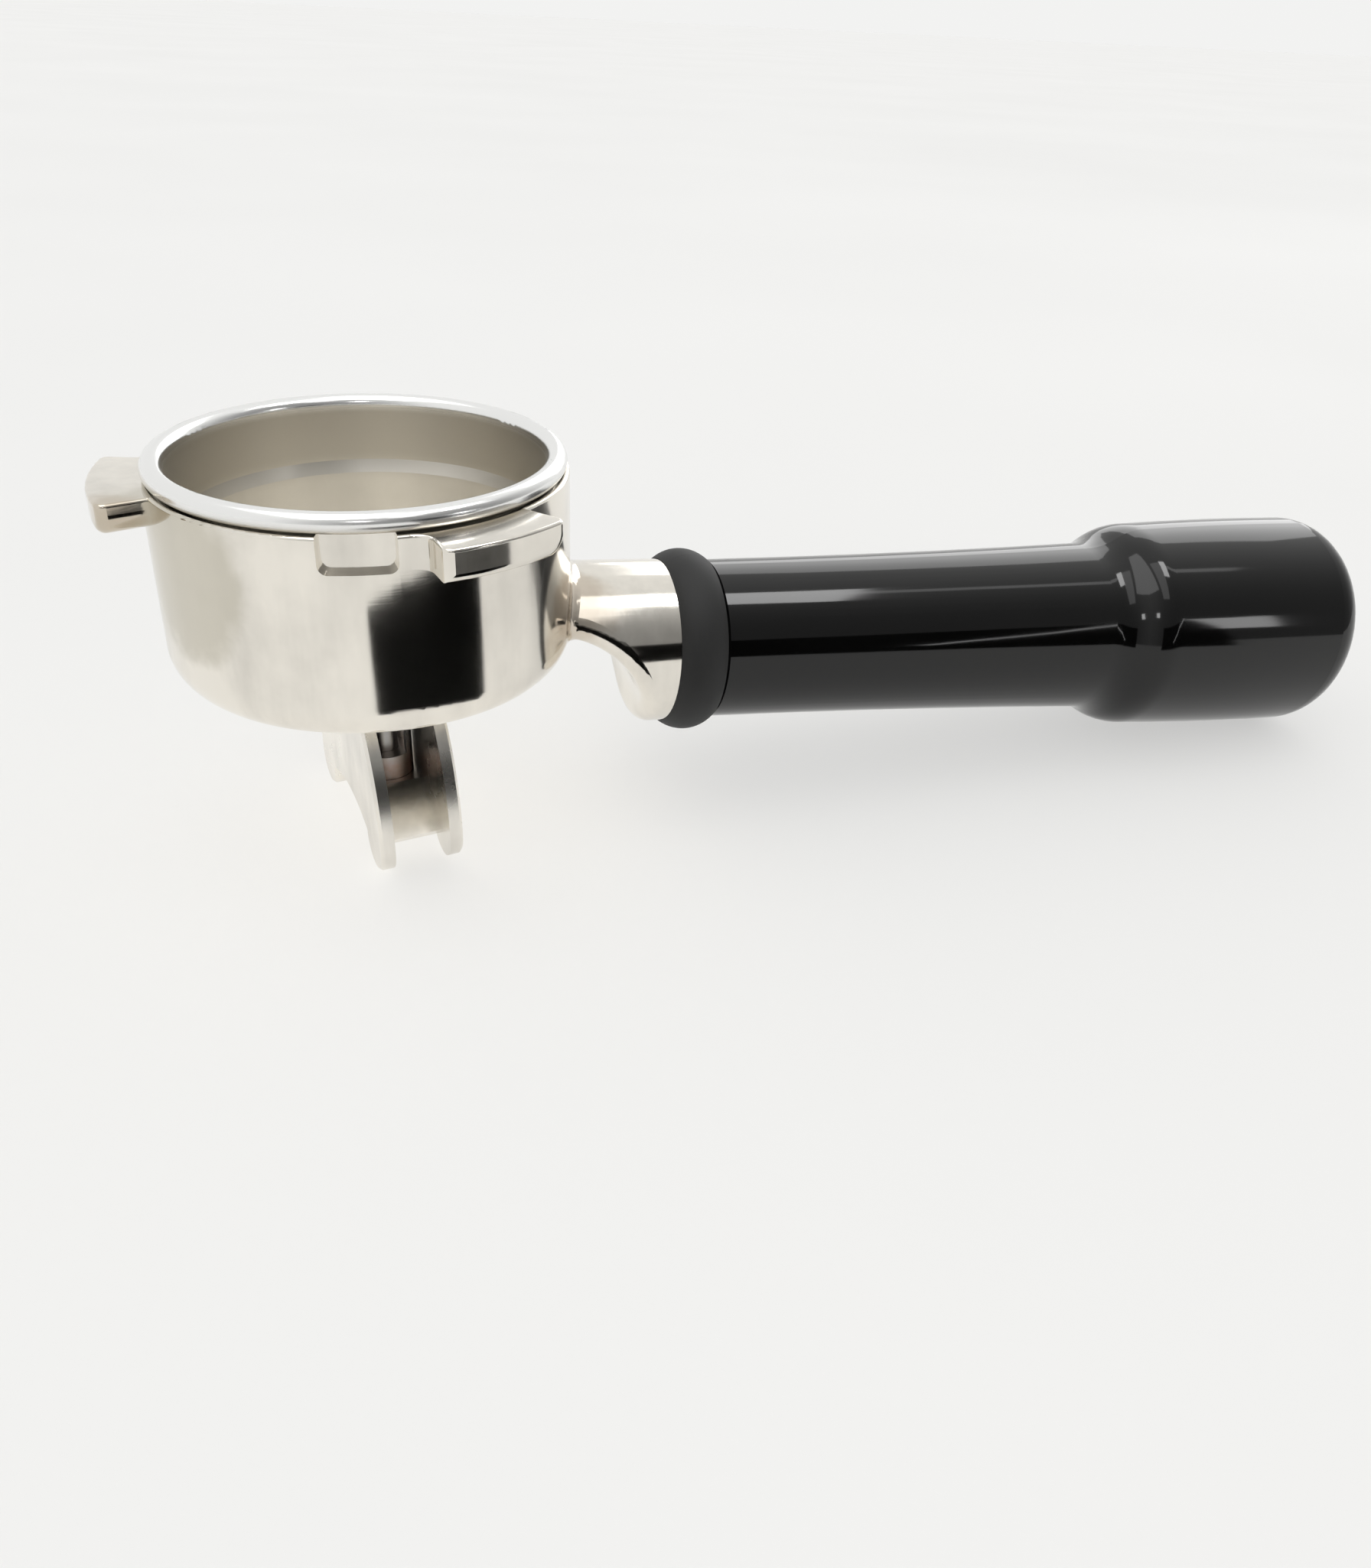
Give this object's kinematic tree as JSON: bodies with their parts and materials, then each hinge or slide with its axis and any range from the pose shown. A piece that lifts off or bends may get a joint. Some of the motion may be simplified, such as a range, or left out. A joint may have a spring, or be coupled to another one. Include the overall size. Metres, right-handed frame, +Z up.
{
  "type": "portafilter",
  "caption": "Espresso machine filter holder with bayonet lugs, lift-out basket, twin open spout, rubber collar and a swelling grip.",
  "frame": {"origin": "on the cup's axis, in the plane of the cup's top face that the basket's rim sits on", "axes": "+Z up along the cup's axis, +X along the handle, +Y by the right-hand rule. The handle's axis droops 3.7 degrees below +X. The spout's two tips lie either side of the XZ plane, turned 9 degrees about +Z from the Y axis"},
  "size_m": [0.2185, 0.0724, 0.0636],
  "materials": {
    "body_steel": "polished, with fine wiping marks",
    "basket_steel": "satin",
    "spout_steel": "dull polish",
    "tube_steel": "turned",
    "fastener_steel": "plain",
    "seal_rubber": "matte",
    "collar_rubber": "matte",
    "grip_plastic": "high gloss",
    "spring_wire": "drawn wire",
    "liner_plastic": "matte",
    "core_plastic": "matte",
    "cap_plastic": "satin gloss"
  },
  "bodies": {
    "holder": {"portafilter_body": "body_steel", "double_spout": "spout_steel", "spout_outlet_tube": "tube_steel", "spout_screw": "fastener_steel", "spout_screw_washer": "fastener_steel", "spout_spring_washer": "fastener_steel", "spout_gasket": "seal_rubber", "rubber_collar": "collar_rubber", "handle_grip": "grip_plastic", "basket_spring": "spring_wire", "cup_liner": "liner_plastic", "handle_core": "core_plastic", "handle_pin": "fastener_steel", "tie_bolt": "fastener_steel", "tie_bolt_washer": "fastener_steel", "tie_bolt_spring_washer": "fastener_steel", "end_cap": "cap_plastic", "end_cap_ring": "seal_rubber"},
    "basket": {"filter_basket": "basket_steel"}
  },
  "joints": [
    {"name": "basket_lift", "type": "slide", "parent": "holder", "child": "basket", "axis": [0, 0, 1], "range_m": [0, 0.045]}
  ]
}
